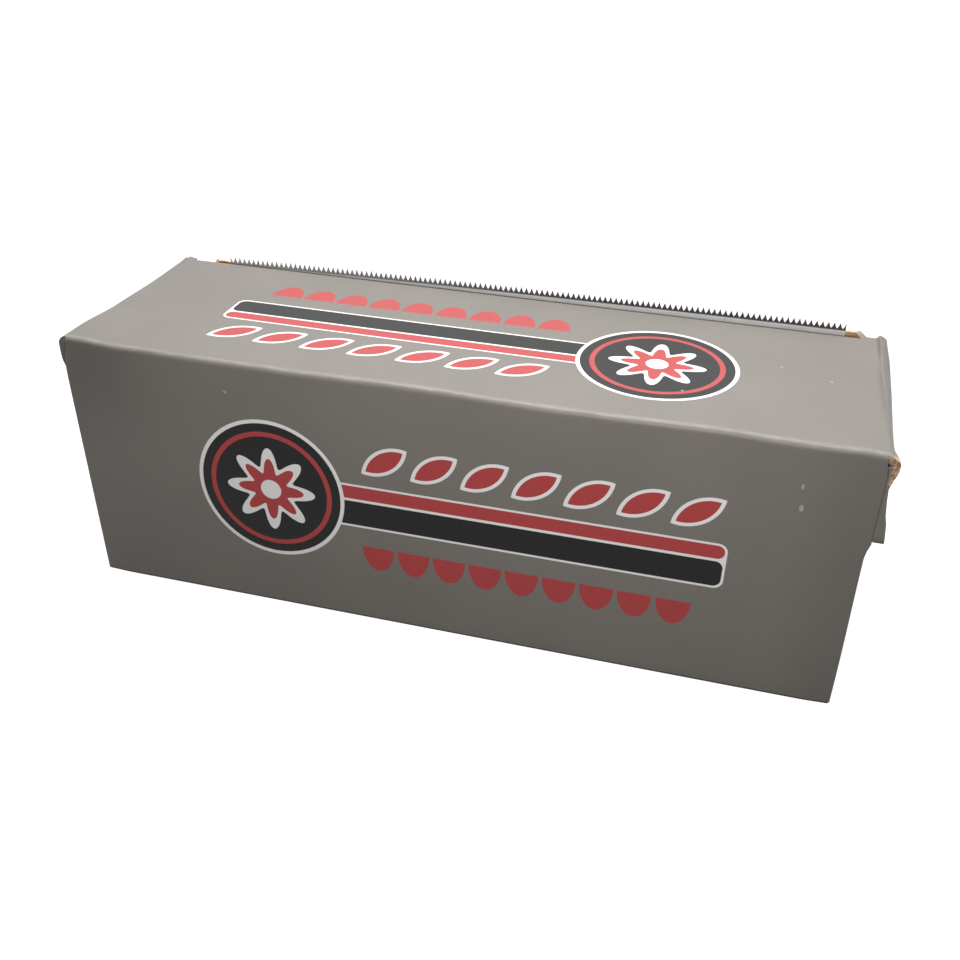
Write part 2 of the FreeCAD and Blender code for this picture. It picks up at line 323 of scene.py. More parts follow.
def end_rise(x, y):
    """How far the lid stands up along its two end folds: high at the near left corner, a little
    low behind it, and high again at both far corners."""
    share = smooth_step(56, 67, np.abs(x))
    narrow = smooth_step(65.6, 67.2, np.abs(x))
    ridge = smooth_step(66.7, 67.4, np.abs(x))
    left = 0.6 * smooth_step(-5, -17, y) * share - 0.22 * bump(y, 8, 9) * narrow
    left = left + 0.36 * bump(np.abs(x), 67.1, 0.9) * smooth_step(18.5, 21.5, y)
    right = 0.05 * share * smooth_step(9, 20, y) + 0.85 * ridge * smooth_step(4, 20, y)
    return np.where(x > 0, right, left)


def warp(points):
    """Bends straight board as handling does. Each term is a smooth push in one direction: the long
    walls bow outwards by a parabola, the back wall also at its foot, the top sinks a little, the
    crease waves, and the corners are pulled and raised."""
    x, y, z = np.moveaxis(points / MM, -1, 0)
    along = np.clip(1 - (x / END) ** 2, 0, 1)
    upright = np.clip(4 * (z / TOP) * (1 - z / TOP), 0, 1)
    across = np.clip(1 - (y / SIDE) ** 2, 0, 1)
    near_back = smooth_step(3, 0, y + SIDE)
    near_front = smooth_step(3, 0, SIDE - y)
    near_top = smooth_step(4, 1.3, TOP - z)
    near_crease = bump(y, -SIDE, 6) * smooth_step(9, 1, TOP - z)
    inside_ends = smooth_step(END + 1, END - 4, np.abs(x))
    foot = smooth_step(7, 0, z) * smooth_step(END, 62, np.abs(x))
    out = (0.3 * near_front - 0.15 * near_back) * along * upright - 0.2 * near_back * foot
    up = crease_wave(x) * near_crease * inside_ends + (end_rise(x, y) - 0.15 * along * across) * near_top
    return points + np.stack([corner_pull(x, y, z), out, up], -1) * MM


def merged(patches, outward=True, cell=2e-6):
    """Puts the patches of one sheet together, so that points in one small cell of space become one
    vertex. Returns the place of each vertex among the patches' points, and the four-sided faces.
    With outward, each patch is turned so that it looks away from the carton's middle."""
    corners, faces, first = [], [], 0
    for points in patches:
        rows, columns = points.shape[:2]
        index = first + np.arange(rows * columns).reshape(rows, columns)
        quads = [index[:-1, :-1], index[1:, :-1], index[1:, 1:], index[:-1, 1:]]
        quads = np.stack(quads, -1).reshape(-1, 4)
        if outward:
            normal = np.cross(points[1:, 1:] - points[:-1, :-1], points[:-1, 1:] - points[1:, :-1])
            if (normal * (points[:-1, :-1] - MIDDLE)).sum() < 0:
                quads = quads[:, ::-1]
        faces.append(quads)
        corners.append(points.reshape(-1, 3))
        first += rows * columns
    off_border = 0.37
    keys = np.floor(np.concatenate(corners) / cell + off_border).astype(np.int64)
    _, chosen, same = np.unique(keys, axis=0, return_index=True, return_inverse=True)
    return chosen, same.reshape(-1)[np.concatenate(faces)]


def all_points(patches):
    return np.concatenate([points.reshape(-1, 3) for points in patches])


def open_edges(faces):
    """The edges that only one face has, as pairs of vertices in that face's own direction."""
    pairs = np.stack([faces, np.roll(faces, -1, axis=1)], -1).reshape(-1, 2)
    _, place, count = np.unique(np.sort(pairs, 1), axis=0, return_index=True, return_counts=True)
    return pairs[place[count == 1]]


def board_mesh(name, patches_at, thickness):
    """A sheet of board as a closed mesh. patches_at(inset) gives the same grids for the printed
    face (inset 0) and the bare face (inset = thickness), and a cut edge closes each open side.
    Faces carry material 0 printed, 1 bare and 2 cut. The attribute "depth" is 0 on the printed
    face and 1 on the bare one, and "rest" is the place on the straight box in millimetres."""
    outer_patches, inner_patches = patches_at(0.0), patches_at(thickness)
    chosen, faces = merged(outer_patches)
    outer, inner = all_points(outer_patches)[chosen], all_points(inner_patches)[chosen]
    edges = open_edges(faces)
    count = len(outer)
    rim = np.stack([edges[:, 1], edges[:, 0], edges[:, 0] + count, edges[:, 1] + count], 1)
    straight = np.concatenate([outer, inner])
    every_face = np.concatenate([faces, faces[:, ::-1] + count, rim])
    mesh = bpy.data.meshes.new(name)
    mesh.from_pydata(warp(straight).tolist(), [], every_face.tolist())
    finish = np.repeat([0, 1, 2], [len(faces), len(faces), len(rim)])
    mesh.polygons.foreach_set("material_index", finish)
    depth = mesh.attributes.new("depth", "FLOAT", "POINT")
    depth.data.foreach_set("value", np.repeat([0.0, 1.0], count))
    rest = mesh.attributes.new("rest", "FLOAT_VECTOR", "POINT")
    rest.data.foreach_set("vector", (straight / MM).ravel())
    return add_piece(name, mesh, 35)


def add_piece(name, mesh, sharp_angle):
    """Puts a mesh into the scene as one object, shaded smooth except at sharp edges."""
    mesh.polygons.foreach_set("use_smooth", np.ones(len(mesh.polygons), bool))
    mesh.update()
    mesh.set_sharp_from_angle(angle=math.radians(sharp_angle))
    piece = bpy.data.objects.new(name, mesh)
    bpy.context.scene.collection.objects.link(piece)
    return piece


def floor_half(sizes, inset):
    """Half the length of the flat floor, between the folds of the two end panels."""
    return HALF_LENGTH - sizes.board - inset - fold_radius(sizes.floor_fold, inset)


def wall_run(sizes, inset):
    """X of the points along the straight part of a long wall."""
    end = HALF_LENGTH - inset - fold_radius(sizes.corner_fold, inset)
    floor_end = floor_half(sizes, inset)
    middle = stretch(-floor_end, floor_end, ALONG)
    return chain(stretch(-end, -floor_end, 4), middle, stretch(floor_end, end, 4))


def wall_plan(sizes, inset, side):
    """A long wall from above, with its dust flaps: flap, arc, straight, arc, flap. side is -1 for
    the back wall and 1 for the front."""
    fold = fold_radius(sizes.corner_fold, inset)
    half_x, half_y = HALF_LENGTH - inset, HALF_DEPTH - inset
    middle_x, middle_y = half_x - fold, side * (half_y - fold)
    flap_end = side * (HALF_DEPTH - sizes.dust_flap)
    straight = wall_run(sizes, inset)
    return chain(
        line((-half_x, flap_end), (-half_x, middle_y), FLAP),
        arc((-middle_x, middle_y), fold, 180, 180 - side * 90),
        np.stack([straight, np.full_like(straight, side * half_y)], 1),
        arc((middle_x, middle_y), fold, side * 90, 0),
        line((half_x, middle_y), (half_x, flap_end), FLAP),
    )


def tray_wall(sizes, inset, side, high):
    """One long wall with its dust flaps: each upright column of points runs from the floor fold
    to high(x) in equal steps."""
    straight_plan, plan = wall_plan(sizes, 0.0, side), wall_plan(sizes, inset, side)
    x = straight_plan[:, :1]
    on_flap = smooth_step(0, sizes.corner_fold, np.abs(x) - HALF_LENGTH + sizes.corner_fold)
    fold_top = inset + fold_radius(sizes.floor_fold, inset)
    bottom = fold_top + (FLAP_LIFT - fold_top) * on_flap
    return patch(plan[:, :1], plan[:, 1:], bottom + (high(x) - bottom) * stretch(0, 1, UPWARDS)[None, :])


def floor_profile(sizes, inset, panel_top):
    """The floor and its end panels from the front: panel, arc, floor, arc, panel."""
    fold, half = fold_radius(sizes.floor_fold, inset), floor_half(sizes, inset)
    panel_x = half + fold
    return chain(
        line((-panel_x, panel_top), (-panel_x, inset + fold), UPWARDS),
        arc((-half, inset + fold), fold, 180, 270),
        line((-half, inset), (half, inset), ALONG),
        arc((half, inset + fold), fold, 270, 360),
        line((panel_x, inset + fold), (panel_x, panel_top), UPWARDS),
    )


def tray_patches(sizes, inset):
    """The tray as one sheet: two walls with their flaps, the floor with its end panels, and the
    quarter-round folds that join the walls to the floor. The front wall's top is a straight line
    with a cut at both ends and a low hump beside the left one."""
    end_top = LID_TOP - sizes.board - sizes.end_drop
    crease_low = LID_TOP - sizes.crease_fold - sizes.crease_flat
    left, right = sizes.front_cut_left - HALF_LENGTH, HALF_LENGTH - sizes.front_cut_right

    def back_high(x):
        return np.full_like(x, crease_low)

    def front_high(x):
        share = (x + HALF_LENGTH) / (2 * HALF_LENGTH)
        edge = LID_TOP + sizes.front_rise_left * (1 - share) + sizes.front_rise_right * share
        edge = edge + 0.28 * MM * bump(x, -61 * MM, 2 * MM)
        up_left = smooth_step(left - SLANT_LEFT, left, x)
        up_right = smooth_step(right + SLANT_RIGHT, right, x)
        return end_top + (edge - end_top) * np.minimum(up_left, up_right)

    fold = fold_radius(sizes.floor_fold, inset)
    turn = np.radians(stretch(0, 90, 8))[None, :]
    straight = wall_run(sizes, inset)[:, None]
    folds = [patch(straight, side * (HALF_DEPTH - inset - fold + fold * np.cos(turn)),
                   inset + fold - fold * np.sin(turn)) for side in (-1, 1)]

    panel_top = end_top - sizes.panel_drop
    shape = floor_profile(sizes, 0.0, panel_top)
    floor = floor_profile(sizes, inset, panel_top)
    on_panel = smooth_step(0, sizes.floor_fold, np.abs(shape[:, :1]) - floor_half(sizes, 0.0))
    half_width = HALF_DEPTH - inset - fold
    panel_half = HALF_DEPTH - sizes.board - PANEL_PLAY
    across = stretch(-1, 1, ACROSS)[None, :]
    return [
        tray_wall(sizes, inset, -1, back_high),
        tray_wall(sizes, inset, 1, front_high),
        *folds,
        patch(floor[:, :1], (half_width + (panel_half - half_width) * on_panel) * across, floor[:, 1:]),
    ]


def ear_shift(depth, y, right):
    """How far an ear's face stands out from straight, by its depth below the lid and its place
    along the end. The left ear leans in. The right ear is slanted along its fold and spreads at
    its free edge, and its near edge follows a crumpled line of its own."""
    leans = -(0.36 + 0.4 * smooth_step(-14, -21, y)) * smooth_step(1.5, 6, depth)
    slant = 0.026 * (y + 17) + 0.22 * bump(y, 4, 13) - 0.25 * smooth_step(11, 20, y) - 0.5
    face = slant * bump(depth, 1.1, 2.6) + 0.82 * smooth_step(8, 15, depth)
    edge = np.interp(depth, EAR_DEPTHS, EAR_EDGE)
    near = smooth_step(10 * smooth_step(1.5, 4, depth) - 17.5, -22, y)
    return np.where(right, face + (edge - face) * near, leans)


def rounded_off(depth, corner):
    """How far a side edge draws in near the free edge of an ear, by a quarter circle."""
    past = np.clip(depth - depth.max() + corner, 0, None)
    return corner - np.sqrt(np.clip(corner ** 2 - past ** 2, 0, None))


def lid_section(sizes, inset):
    """The lid from the back: ear, fold, top, fold, ear. Next to the tuck flap's ends the top has a
    narrow strip of its own, where the edge steps back to the flap."""
    fold = sizes.ear_fold - inset
    middle_z = LID_TOP - sizes.ear_fold
    flat, tuck = HALF_LENGTH - 0.1 * MM, sizes.tuck_half
    half = chain(stretch(0, tuck, ALONG // 2), stretch(tuck, tuck + TAB, 1), stretch(tuck + TAB, flat, 8))
    top = chain(-half[::-1], half)
    top = np.stack([top, np.full_like(top, LID_TOP - inset)], 1)
    ear_x = HALF_LENGTH + fold
    ear = line((ear_x, middle_z), (ear_x, LID_LOW[2]), 18)
    right = chain(arc((HALF_LENGTH, middle_z), fold, 90, 0, 12), ear)
    return np.concatenate([right[::-1] * [-1, 1], top, right])


def lid_patches(sizes, inset):
    """The lid as one sheet. Each row of points of its section runs along Y from near(s) to far(s).
    A shallow groove follows the ear folds. The bare face of the ears stays clear of the end walls,
    and the right one is pressed to its wall at the near edge and round its corner. The tuck flap
    is a second patch that starts where the top ends, turns down round its fold and narrows in a
    quarter round at its two free corners."""
    shape, section = lid_section(sizes, 0.0), lid_section(sizes, inset)
    x, depth = shape[:, :1], LID_TOP - shape[:, 1:]
    on_ear = np.abs(x) > HALF_LENGTH - 0.05 * MM
    right = x > 0
    below = np.clip(depth - 1 * MM, 0, None)
    rounding = rounded_off(depth, sizes.ear_corner)
    left_side = sizes.ear_setback + below * math.tan(sizes.taper_left) + rounding
    right_near = sizes.ear_flush + rounded_off(depth, sizes.ear_corner / 4)
    right_far = sizes.ear_setback + below * math.tan(sizes.taper_right) + rounding
    crease_end = sizes.crease_fold + sizes.crease_flat
    tuck_start = LID_HIGH[1] - sizes.tuck_fold
    near = np.where(on_ear, np.where(right, right_near, left_side), crease_end) - HALF_DEPTH
    far = LID_HIGH[1] - np.where(on_ear, np.where(right, right_far, left_side), 0.1 * MM)
    far = np.where(np.abs(x) <= sizes.tuck_half + TAB / 4, tuck_start, far)
    share = chain(stretch(0, 0.012, 2), stretch(0.012, 0.05, 3), stretch(0.05, 1, ACROSS - 5))
    y = near + (far - near) * share[None, :]
    groove = 0.14 * MM * bump(np.abs(x), HALF_LENGTH + 0.12 * MM, 0.3 * MM)
    groove = np.where(depth < 2 * MM, groove * smooth_step(-14 * MM, 0, y), 0)
    out = np.where(on_ear, np.sign(x) * ear_shift(depth / MM, y / MM, right) * MM, 0)
    body_x = section[:, :1] + out * smooth_step(0, 0.6 * MM, depth)
    if inset:
        turning = np.clip((0.57 * MM - HALF_DEPTH - y) / (0.52 * MM), 0, 1)
        wall = HALF_LENGTH + EAR_PLAY - 0.16 * MM * turning ** 2
        held = np.maximum(np.abs(body_x), wall)
        pressed = right * smooth_step(-17 * MM, -21.5 * MM, y) * smooth_step(1 * MM, 2 * MM, depth)
        body_x = np.where(depth > 1 * MM, np.sign(x) * (held + (wall - held) * pressed), body_x)
    body = patch(body_x, y, section[:, 1:] - groove)

    turned = 90 + math.degrees(sizes.tuck_lean)
    fold_middle = (tuck_start, LID_TOP - sizes.tuck_fold)
    down = arc(fold_middle, fold_radius(sizes.tuck_fold, inset), 90, 90 - turned, 12)
    heading = np.array([-math.sin(sizes.tuck_lean), -math.cos(sizes.tuck_lean)])
    flap = chain(down, line(down[-1], down[-1] + heading * sizes.tuck_length, 16))
    left_over = np.linalg.norm(flap - flap[-1], axis=1)[None, :]
    corner = sizes.tuck_corner
    inner = np.clip(corner - left_over, 0, corner)
    inset_x = corner - np.sqrt(corner ** 2 - inner ** 2)
    inset_x += sizes.tuck_taper * smooth_step(0.8 * MM, 4 * MM, LID_TOP - flap[None, :, 1])
    reach = chain(stretch(-1, 0, ALONG // 2), stretch(0, 1, ALONG // 2))[:, None]
    return [body, patch(reach * (sizes.tuck_half - inset_x), flap[None, :, 0], flap[None, :, 1])]


def crease_patches(sizes, inset):
    """The crease between back wall and lid: a straight foot, a quarter round and a short flat."""
    reach, radius = sizes.crease_fold + sizes.crease_flat, fold_radius(sizes.crease_fold, inset)
    wall, top = -HALF_DEPTH + inset, LID_TOP - inset
    section = chain(
        line((wall, LID_TOP - reach), (wall, top - radius), 3),
        arc((wall + radius, top - radius), radius, 180, 90, 8),
        line((wall + radius, top), (-HALF_DEPTH + reach, top), 3),
    )
    half = HALF_LENGTH - 0.05 * MM
    return [patch(stretch(-half, half, 2 * ALONG)[:, None], section[None, :, 0], section[None, :, 1])]


class Wire:
    """One output socket. Arithmetic on wires and numbers adds Math nodes."""

    def __init__(self, shader, socket):
        self.shader = shader
        self.socket = socket

    def __add__(self, other):
        return self.shader.math("ADD", self, other)

    def __radd__(self, other):
        return self.shader.math("ADD", other, self)

    def __sub__(self, other):
        return self.shader.math("SUBTRACT", self, other)

    def __rsub__(self, other):
        return self.shader.math("SUBTRACT", other, self)

    def __mul__(self, other):
        return self.shader.math("MULTIPLY", self, other)

    def __rmul__(self, other):
        return self.shader.math("MULTIPLY", other, self)

    def __truediv__(self, other):
        return self.shader.math("DIVIDE", self, other)

    def __rtruediv__(self, other):
        return self.shader.math("DIVIDE", other, self)

    def __pow__(self, other):
        return self.shader.math("POWER", self, other)

    def __neg__(self):
        return self.shader.math("MULTIPLY", self, -1.0)

    def __abs__(self):
        return self.shader.math("ABSOLUTE", self)


class Shader:
    """A node tree under construction."""

    def __init__(self, tree):
        self.tree = tree

    def add(self, kind, settings=None, sockets=None, output=0):
        """Adds one node. settings are its own properties, set first, and sockets its inputs by
        name or number, each a wire, a number or a colour. Returns the wire of one output."""
        node = self.tree.nodes.new(kind)
        for key, setting in (settings or {}).items():
            setattr(node, key, setting)
        for key, source in (sockets or {}).items():
            if isinstance(source, Wire):
                self.tree.links.new(source.socket, node.inputs[key])
            else:
                node.inputs[key].default_value = source
        return Wire(self, node.outputs[output])

    def math(self, operation, *values):
        return self.add("ShaderNodeMath", {"operation": operation}, dict(enumerate(values)))

    def least(self, one, other):
        return self.math("MINIMUM", one, other)

    def most(self, one, other):
        return self.math("MAXIMUM", one, other)

    def length(self, one, other):
        return self.math("SQRT", one ** 2 + other ** 2)

    def step(self, value, low, high):
        """Smooth step from 0 at low to 1 at high. low may be the larger."""
        if low > high:
            return 1 - self.step(value, high, low)
        return self.add("ShaderNodeMapRange", {"interpolation_type": "SMOOTHSTEP"},
                        {"Value": value, "From Min": low, "From Max": high})

    def mix(self, share, one, other):
        """A colour between two colours."""
        one, other = (c if isinstance(c, Wire) else (*c, 1) for c in (one, other))
        return self.add("ShaderNodeMix", {"data_type": "RGBA"}, {0: share, 6: one, 7: other}, 2)

    def layered(self, colour, *layers):
        """A colour with others laid over it in order, each given as (share, colour)."""
        for share, other in layers:
            colour = self.mix(share, colour, other)
        return colour

    def split(self, vector):
        """A vector in millimetres, with its x, y and z."""
        return vector, *(self.add("ShaderNodeSeparateXYZ", None, {0: vector}, i) for i in range(3))

    def object_place(self):
        spot = self.add("ShaderNodeTexCoord", None, None, "Object")
        scaled = self.add("ShaderNodeVectorMath", {"operation": "SCALE"}, {0: spot, "Scale": 1 / MM})
        return self.split(scaled)

    def rest_place(self):
        """The place on the straight box, which stays with the board when the crease bends."""
        return self.split(self.add("ShaderNodeAttribute", {"attribute_name": "rest"}, None, "Vector"))

    def stretched(self, vector, x, y, z):
        return self.add("ShaderNodeVectorMath", {"operation": "MULTIPLY"}, {0: vector, 1: (x, y, z)})

    def noise(self, vector, scale, detail=2.0, roughness=0.5):
        return self.add("ShaderNodeTexNoise", None,
                        {"Vector": vector, "Scale": scale, "Detail": detail, "Roughness": roughness})

    def attribute(self, name):
        return self.add("ShaderNodeAttribute", {"attribute_name": name}, None, "Fac")


class Finish(Shader):
    """A material under construction, with its Principled shader."""

    def __init__(self, name, **surface):
        self.material = bpy.data.materials.new(name)
        self.material.use_nodes = True
        super().__init__(self.material.node_tree)
        self.principled = next(node for node in self.tree.nodes if node.type == "BSDF_PRINCIPLED")
        for socket, number in surface.items():
            self.principled.inputs[socket.replace("_", " ")].default_value = number

    def feed(self, socket, wire):
        self.tree.links.new(wire.socket, self.principled.inputs[socket])

    def paint(self, colour, *layers):
        self.feed("Base Color", self.layered(colour, *layers))

    def bump(self, height, distance, strength):
        """Bump whose height of 1 stands for distance, in metres."""
        self.feed("Normal", self.add("ShaderNodeBump", None,
                                     {"Height": height, "Distance": distance, "Strength": strength}))


def shade(colour, factor):
    """A colour made lighter or darker, in plain numbers."""
    return tuple(min(1.0, channel * factor) for channel in colour)


def ink(finish, distance, soft=0.06):
    """The share of ink from a signed distance in millimetres: 1 inside a shape, 0 outside it."""
    return finish.step(distance, soft, -soft)


def bar(finish, u, v, left, right, low, high, corner):
    """Signed distance to an upright rectangle with rounded corners."""
    half_u, half_v = (right - left) / 2, (high - low) / 2
    side = abs(u - (left + right) / 2) - (half_u - corner)
    tall = abs(v - (low + high) / 2) - (half_v - corner)
    outside = finish.length(finish.most(side, 0.0), finish.most(tall, 0.0))
    return outside + finish.least(finish.most(side, tall), 0.0) - corner


def rosette(finish, u, v, radius, wave, petals):
    """Signed distance, nearly, to a flower: a disc whose radius follows a cosine of the angle."""
    angle = finish.math("ARCTAN2", v, u)
    return finish.length(u, v) - radius - wave * finish.math("COSINE", angle * float(petals))


def from_nearest(finish, u, first, pitch, count):
    """Distance along u from the nearest place of a row that starts at first."""
    index = finish.math("ROUND", (u - first) / pitch)
    index = finish.least(finish.most(index, 0.0), count - 1.0)
    return u - first - index * pitch


def leaf(finish, across, up, length, width, slope):
    """Signed distance, nearly, to a slanting leaf: the overlap of two discs."""
    cosine, sine = math.cos(slope), math.sin(slope)
    along = across * cosine + up * sine
    aside = abs(up * cosine - across * sine)
    radius = (length ** 2 + width ** 2) / (2 * width)
    return finish.length(along, aside + (radius - width)) - radius


def scallop(finish, across, up, half, drop):
    """Signed distance, nearly, to half a disc that hangs from v = 0."""
    return finish.most(finish.length(across / half, up / drop) * drop - drop, up)


def printed(finish, u, v, colours, ground):
    """The print, a generic design read with u to the right and v up, both in millimetres from the
    panel's middle: a round flower badge, a long red and black band with a white hairline, a row
    of white-edged red leaves above it and a red scalloped edging below it."""
    badge_u, badge_v = u + 31.0, v - 0.6
    ring = finish.length(badge_u, badge_v)
    leaf_u = from_nearest(finish, u, -10.0, 8.6, 7)
    scallop_u = from_nearest(finish, u, -11.5, 6.4, 9)
    layers = [
        (leaf(finish, leaf_u, v - 9.6, 4.9, 2.25, 0.6), "white"),
        (leaf(finish, leaf_u, v - 9.6, 4.0, 1.65, 0.6), "red"),
        (scallop(finish, scallop_u, v + 8.0, 2.9, 4.8), "red"),
        (bar(finish, u, v, -26.0, 47.0, -4.2, 4.4, 1.6), "white"),
        (bar(finish, u, v, -26.0, 46.6, 1.5, 4.0, 1.2), "red"),
        (bar(finish, u, v, -26.0, 46.6, -3.8, 1.0, 1.3), "black"),
        (ring - 13.6, "white"),
        (ring - 12.9, "black"),
        (ring - 11.3, "red"),
        (ring - 10.4, "black"),
        (rosette(finish, badge_u, badge_v, 6.4, 1.8, 8), "white"),
        (rosette(finish, badge_u, badge_v, 4.7, 1.4, 8), "red"),
        (ring - 1.9, "white"),
    ]
    return finish.layered(ground, *(
        (ink(finish, distance), tuple(getattr(colours, name))) for distance, name in layers))


def scuffs(finish, x, other, places):
    """The distance from the nearest of the small white chips, as a share of its half size."""
    found = None
    for place_x, place_other, half_x, half_other in places:
        spot = finish.length((x - place_x) / half_x, (other - place_other) / half_other)
        found = spot if found is None else finish.least(found, spot)
    return found


def printed_board(colours):
    """Coated grey board with the print on its back wall and, turned round, on its lid. The grey is
    clouded a little, and painted shade darkens the upper left and the right of the back wall. The
    folds are scuffed towards the white liner, the whitening along the crease is partly wear and
    partly a painted highlight, and a few chips show white. Painted shade darkens the groove along
    the right ear's fold and the edge at the foot. The print is torn off the near corner of that ear."""
    finish = Finish("printed_board", Roughness=0.38, Specular_IOR_Level=0.18)
    grey, kraft = partial(shade, colours.ground), partial(shade, colours.kraft)
    vector, x, y, z = finish.rest_place()
    cloud = finish.noise(vector, 0.045, 3.0)
    fibre = finish.noise(finish.stretched(vector, 1.0, 1.0, 2.2), 1.6, 3.0, 0.6)
    fine = finish.noise(vector, 7.0, 2.0, 0.7)
    rub = finish.noise(finish.stretched(vector, 0.35, 1.0, 1.0), 1.1, 4.0, 0.65)
    ground = finish.mix(finish.step(cloud, 0.35, 0.65), grey(0.97), grey(1.03))

    on_back = finish.step(y, 0.3 - SIDE, 0.1 - SIDE)
    on_lid = finish.step(z, TOP - 0.7, TOP - 0.4)
    turned = finish.step(y, 0.6 - SIDE, 0.7 - SIDE)
    u = x * (1 - 2 * turned)
    v = (z - TOP / 2) * (1 - turned) - (y + 0.6) * turned

    off_crease = finish.length(y + (SIDE - 0.8), z - TOP)
    # Whitening along the crease: partly wear, partly a painted highlight on the rounded fold.
    crease_wear_and_highlight = finish.step(off_crease, 1.0, 0.2) * (0.05 + 0.1 * finish.step(rub, 0.4, 0.65))
    end_wear = finish.step(abs(x), END - 0.3, END + 0.3) * finish.step(rub, 0.55, 0.75) * 0.06
    wear_and_highlight = finish.most(crease_wear_and_highlight, end_wear)
    # Painted shade in the groove along the right ear's fold.
    groove_shade = finish.step(abs(x - (END + 0.17)), 0.26, 0.04) * on_lid * finish.step(y, -15.0, -3.0)
    # Painted shade along the foot, where the board meets the floor.
    foot = finish.step(z, 0.5, 0.3) * finish.step(abs(y), SIDE - 1.2, SIDE - 0.6)
    # Painted shade at the upper left and towards the right end of the back wall.
    painted_shade = finish.step(finish.length(x + END, (z - TOP) * 0.8), 20.0, 3.0) * 0.42
    painted_shade = finish.most(painted_shade, finish.step(x, END - 13, END - 1) * 0.27) * on_back
    frayed = rub - 0.5
    torn = finish.step(x + frayed, END + 0.5, END + 0.8) * finish.step(y + frayed, 1.2 - SIDE, 0.8 - SIDE)
    torn = torn * finish.step(z + frayed * 1.5, TOP - 5.1, TOP - 4.7)
    tan = finish.mix(finish.step(rub, 0.35, 0.65), kraft(1.5), kraft(0.7))
    on_wall = scuffs(finish, x, z, BACK_SCUFFS) + (1 - on_back) * 9
    on_top = scuffs(finish, x, y, LID_SCUFFS) + (1 - on_lid) * 9
    chip = finish.step(finish.least(on_wall, on_top) + (fine - 0.5) * 0.9, 1.15, 0.75)

    finish.paint(
        ground,
        (finish.most(on_back, on_lid), printed(finish, u, v, colours, ground)),
        (wear_and_highlight, (0.6, 0.585, 0.55)),
        (groove_shade * 0.4, grey(0.45)),
        (foot * 0.9, grey(0.15)),
        (painted_shade, grey(0.45)),
        (torn, tan),
        (chip * 0.45, (0.6, 0.59, 0.56)),
        (finish.step(fibre, 0.62, 0.8) * 0.05, (0.8, 0.78, 0.74)),
    )
    finish.feed("Roughness", 0.33 + fibre * 0.1 + wear_and_highlight * 0.3 + chip * 0.3)
    finish.bump(fibre * 0.5 + fine * 0.2 + cloud * 0.6 + rub * wear_and_highlight * 0.5 - chip * 0.6, 0.03 * MM, 0.7)
    return finish.material


def kraft_board(colours):
    """Bare kraft: brown fibres at two scales with darker flecks, and the faint washboard of the
    fluting under it. The near edge of the right ear is grey, and a brown line of painted shade
    follows the inner top of the front wall."""
    finish = Finish("bare_board", Roughness=0.85, Specular_IOR_Level=0.2)
    kraft = partial(shade, colours.kraft)
    vector, x, y, z = finish.rest_place()
    fibre = finish.noise(finish.stretched(vector, 0.5, 2.0, 2.0), 1.8, 4.0, 0.65)
    cloud = finish.noise(vector, 0.09, 2.0)
    fleck = finish.noise(finish.stretched(vector, 1.0, 3.0, 3.0), 3.4, 2.0)
    edge = finish.step(x, END - 0.3, END - 0.2) * finish.step(y, 1.6 - SIDE, 1.2 - SIDE)
    # Painted shade: a brown band on the inner face of the front wall, just under the lid's level.
    front_wall_shade = finish.step(z, 45.6, 46.2) * finish.step(z, 47.35, 47.1)
    front_wall_shade = front_wall_shade * finish.step(y, SIDE - 1.3, SIDE - 1.25)
    finish.paint(
        kraft(0.84),
        (finish.step(fibre, 0.3, 0.7), kraft(1.16)),
        (finish.step(cloud, 0.3, 0.7) * 0.3, kraft(1.25)),
        (finish.step(fleck, 0.66, 0.76) * 0.5, kraft(0.4)),
        (edge, tuple(colours.ground)),
        (front_wall_shade * 0.8, SHADE_BROWN),
    )
    washboard = finish.math("SINE", x * (2 * math.pi / FLUTE_PITCH))
    finish.bump(fibre + washboard * 0.5, 0.05 * MM, 0.7)
    return finish.material


